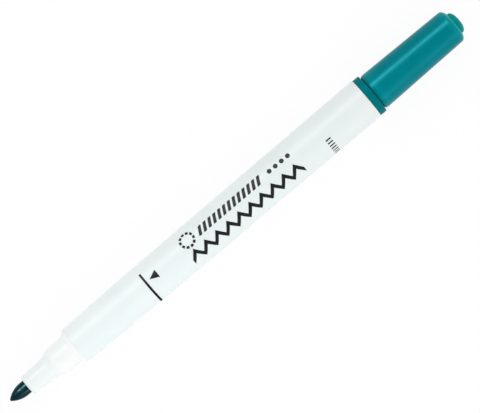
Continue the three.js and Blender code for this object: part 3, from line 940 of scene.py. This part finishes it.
matt_teal = moulding(
    "matt teal moulding",
    {
        "Colour": (0.0, 0.15, 0.172, 1),
        "Cloud Size": 3.0,
        "Cloud Depth": 0.05,
        "Grain Height": 0.003,
        "Drag Height": 0.001,
        "Roughness": 0.55,
        "Scuffs": 0.6,
        "Rim Wear And Highlight Colour": (0.01, 0.2, 0.215, 1),
    },
    {"Specular IOR Level": 0.08, "Specular Tint": (0.0, 0.9, 1.0, 1)},
)
ink = moulding(
    "print ink",
    {
        "Colour": (0.004, 0.005, 0.006, 1),
        "Cloud Size": 1.5,
        "Cloud Depth": 0.25,
        "Grain Height": 0.002,
        "Drag Height": 0.0,
        "Roughness": 0.5,
        "Scuffs": 0.4,
        "Rim Wear And Highlight Colour": (0.012, 0.013, 0.014, 1),
    },
    {"Specular IOR Level": 0.08},
)
wet_fibre = fibre(
    "wet fibre",
    {
        "Dark": (0.0, 0.004, 0.008, 1),
        "Light": (0.003, 0.036, 0.048, 1),
        "Strand Width": 0.22,
        "Depth": 0.02,
        "Roughness": 0.25,
        "Wetness": 0.22,
    },
    {"Specular IOR Level": 0.1, "Specular Tint": (0.1, 0.8, 1.0, 1), "Coat Roughness": 0.25},
)
inked_fibre = fibre(
    "inked fibre",
    {
        "Dark": (0.002, 0.08, 0.1, 1),
        "Light": (0.03, 0.28, 0.31, 1),
        "Strand Width": 0.3,
        "Depth": 0.03,
        "Roughness": 0.85,
        "Wetness": 0.2,
    },
    {"Sheen Weight": 0.2},
    denser=(NIB_MOUTH + 30, 30, (0.002, 0.05, 0.065, 1)),
)
film = moulding(
    "clear film",
    {
        "Colour": (0.86, 0.93, 0.94, 1),
        "Cloud Size": 3.0,
        "Cloud Depth": 0.02,
        "Grain Height": 0.001,
        "Drag Height": 0.004,
        "Roughness": 0.12,
        "Scuffs": 0.3,
        "Rim Wear And Highlight Colour": (0.9, 0.95, 0.96, 1),
    },
    {"Transmission Weight": 0.8, "IOR": 1.49},
)

# The pen
barrel = swelling_barrel()
stand_in(barrel, "barrel", "pen", milky)
stand_in(bullet_nib(), "fibre_nib", "pen", wet_fibre)
stand_in(stepped_holder(), "nib_holder", "pen", white)
stand_in(rear_plug(), "end_plug", "pen", matt_teal)
stand_in(vented_cap(), "cap_shell", "cap", teal)
stand_in(inner_seal(), "cap_inner_seal", "cap", soft_teal)
for mark in (ring_line, pointer, stitched_hoop, slanted_stitches, knots, bold_zigzag, tick_scale):
    roll_on(mark(), barrel, ink)
for node, material in (("ink_reservoir_core", inked_fibre), ("ink_reservoir_wrap", film)):
    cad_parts[node].material_slots[0].material = material


# Floor, light and camera. The camera was fitted to the photograph, in which the pen rises to the right.
# Its place is in millimetres, and the floor's size and the lamps' places and sizes are in metres.
CAMERA_PLACE = (7.84, -0.148, 850)
CAMERA_AIM = (1.604, -0.148, AXIS_Z / MM)
CAMERA_LENS = 263.98
PEN_RISE = 40.319
FLOOR_SIZE = 6
FLOOR_GLOW = 0.92


def behind_the_pen(tree, plain, shown):
    """One shader for light on the pen, and another for what the camera, gloss and clear plastic see."""
    rays = add(tree, "LightPath").outputs
    seen = calc(tree, "MAXIMUM", rays["Is Camera Ray"], rays["Is Glossy Ray"])
    seen = calc(tree, "MAXIMUM", seen, rays["Is Transmission Ray"])
    return add(tree, "MixShader", {0: seen, 1: plain, 2: shown}).outputs[0]


def pale_floor():
    """A white floor that keeps the pen's shadow, only faintly where the camera sees it."""
    start_clean()
    bpy.ops.mesh.primitive_plane_add(size=FLOOR_SIZE)
    floor = settle("floor")
    material, tree, principled, position = new_material("pale floor", {"Specular IOR Level": 0.1})
    fleck = noise(tree, stretched(tree, position, (1, 1, 1)), scale=0.4, detail=3.0)
    share = remap(tree, fleck, 0.3, 0.7)
    tone = blend(tree, share, (0.955, 0.96, 0.96, 1), (0.975, 0.977, 0.977, 1))
    tree.links.new(tone, principled.inputs["Base Color"])
    rough = remap(tree, fleck, 0.3, 0.7, to_low=0.7, to_high=0.8)
    tree.links.new(rough, principled.inputs["Roughness"])
    glow = add(tree, "Emission", {"Color": (1, 1, 1, 1), "Strength": 1.0}).outputs[0]
    lit = principled.outputs["BSDF"]
    paler = add(tree, "MixShader", {0: FLOOR_GLOW, 1: lit, 2: glow}).outputs[0]
    tree.links.new(behind_the_pen(tree, lit, paler), tree.nodes["Material Output"].inputs["Surface"])
    dress(floor, material)


def white_surroundings(strength):
    world = bpy.data.worlds.new("white surroundings")
    bpy.context.scene.world = world
    world.use_nodes = True
    tree = world.node_tree
    plain = tree.nodes["Background"]
    plain.inputs["Color"].default_value = (1, 1, 1, 1)
    plain.inputs["Strength"].default_value = strength
    shown = add(tree, "Background", {"Color": (1, 1, 1, 1), "Strength": 1.0})
    surface = behind_the_pen(tree, plain.outputs[0], shown.outputs[0])
    tree.links.new(surface, tree.nodes["World Output"].inputs["Surface"])


def soft_lamp(name, place, size, power, gleam=False):
    """A flat lamp that faces the middle of the pen, with its long side along the pen.

    It only gleams on the plastic, or it only lights it."""
    lamp = bpy.data.lights.new(name, "AREA")
    lamp.shape = "RECTANGLE"
    lamp.size, lamp.size_y = size
    lamp.energy = power
    obj = bpy.data.objects.new(name, lamp)
    bpy.context.scene.collection.objects.link(obj)
    place = Vector(place)
    away = (place - Vector((0, 0, AXIS_Z))).normalized()
    along = (Vector((1, 0, 0)) - away * away.x).normalized()
    across = away.cross(along)
    obj.matrix_world = Matrix.Translation(place) @ Matrix((along, across, away)).transposed().to_4x4()
    obj.visible_glossy = gleam
    obj.visible_diffuse = not gleam


def photo_camera():
    """Looks down on the middle of the pen, turned so that the pen runs up to the right."""
    camera = bpy.data.objects.new("camera", bpy.data.cameras.new("camera"))
    bpy.context.scene.collection.objects.link(camera)
    bpy.context.scene.camera = camera
    camera.data.lens = CAMERA_LENS
    camera.data.sensor_width = 36
    camera.data.clip_end = 20
    place = Vector(CAMERA_PLACE) * MM
    sight = (Vector(CAMERA_AIM) * MM - place).normalized()
    along = (Vector((1, 0, 0)) - sight * sight.x).normalized()
    left = (-sight).cross(along)
    rise = math.radians(PEN_RISE)
    right = along * math.cos(rise) - left * math.sin(rise)
    up = along * math.sin(rise) + left * math.cos(rise)
    camera.matrix_world = Matrix.Translation(place) @ Matrix((right, up, -sight)).transposed().to_4x4()


pale_floor()
white_surroundings(strength=0.89)
soft_lamp("side lamp", place=(0.0, -0.7, 1.0), size=(1.4, 0.8), power=2.1)
soft_lamp("strip lamp", place=(0.0, 0.63, 0.78), size=(1.1, 0.2), power=38.0, gleam=True)
soft_lamp("broad lamp", place=(0.0, -0.87, 0.5), size=(1.4, 0.55), power=9.0, gleam=True)
photo_camera()
bpy.context.scene.view_settings.view_transform = "Standard"
